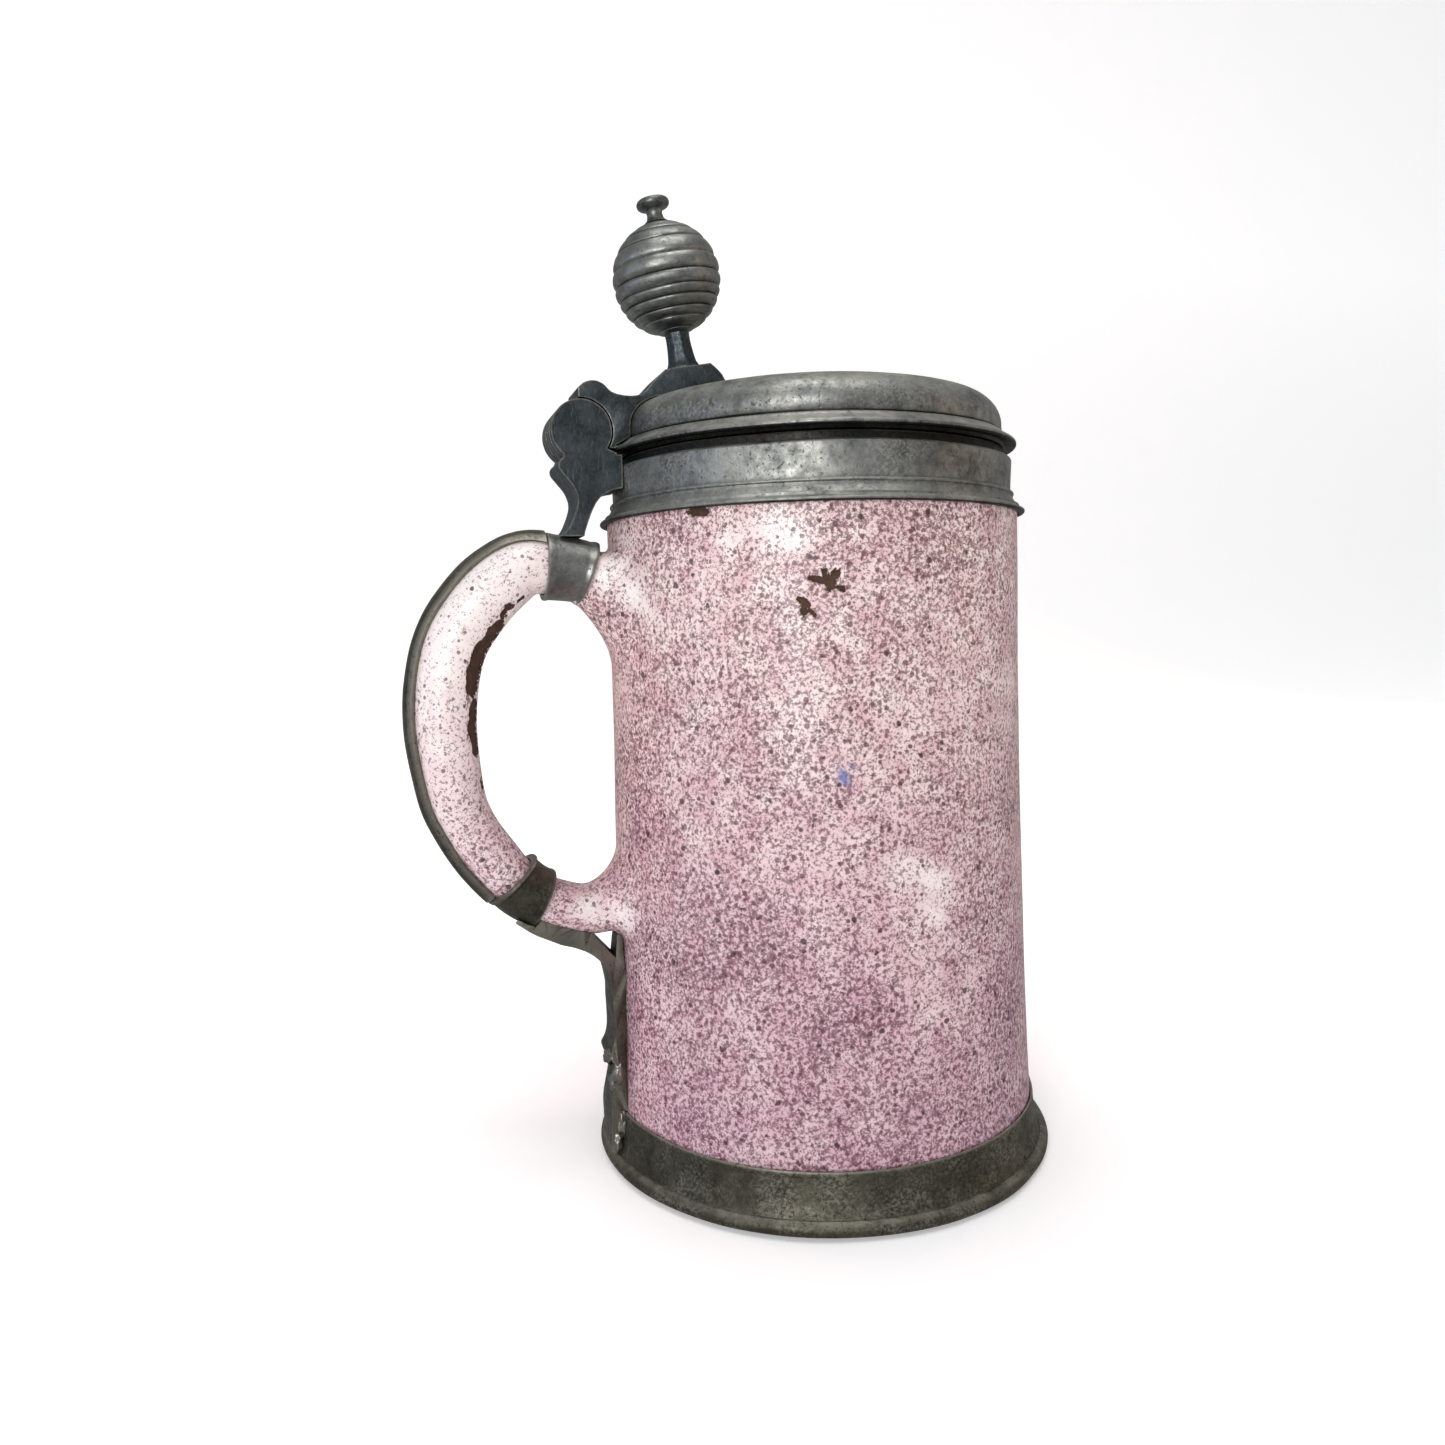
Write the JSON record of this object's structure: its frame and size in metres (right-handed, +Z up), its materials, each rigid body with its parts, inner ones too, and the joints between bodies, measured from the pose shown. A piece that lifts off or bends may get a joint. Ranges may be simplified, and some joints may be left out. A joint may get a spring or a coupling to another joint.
{
  "type": "lidded tankard",
  "caption": "Cylindrical speckled earthenware tankard with bow handle, pewter foot, collar and straps, and a hinged domed pewter lid with a ribbed ball thumbpiece.",
  "frame": {"origin": "middle of the whole object's plan, on the table; the jug's own axis stands 21 mm towards +X of it", "axes": "+Z up along the jug, the handle and hinge towards -X, Y across the handle"},
  "size_m": [0.1577, 0.1146, 0.2307],
  "materials": {
    "glazed_clay": "pale pink-white tin glaze densely speckled manganese purple",
    "pewter": "aged pewter, dark blue-grey patina",
    "dark_pewter": "aged pewter, brown-black patina",
    "iron_pin": "dull iron wire",
    "plaster": "plaster of Paris bedding"
  },
  "bodies": {
    "jug": {"faience_jug": "glazed_clay", "foot_ring": "dark_pewter", "foot_bedding": "plaster", "rim_collar": "pewter", "rim_bedding": "plaster", "hinge_bracket": "pewter", "hinge_pin": "iron_pin", "upper_handle_band": "dark_pewter", "lower_handle_band": "dark_pewter", "handle_strap": "dark_pewter", "foot_strap": "dark_pewter", "strap_repair": "dark_pewter"},
    "lid": {"lid": "pewter", "lid_hinge_leaf": "pewter", "thumb_stem": "pewter", "ball_lower": "pewter", "ball_upper": "pewter", "thumb_button": "pewter"}
  },
  "joints": [
    {"name": "lid_hinge", "type": "hinge", "parent": "jug", "child": "lid", "pos_m": [-0.0363, 0, 0.1757], "axis": [0, -1, 0], "range_deg": [0, 135]}
  ]
}
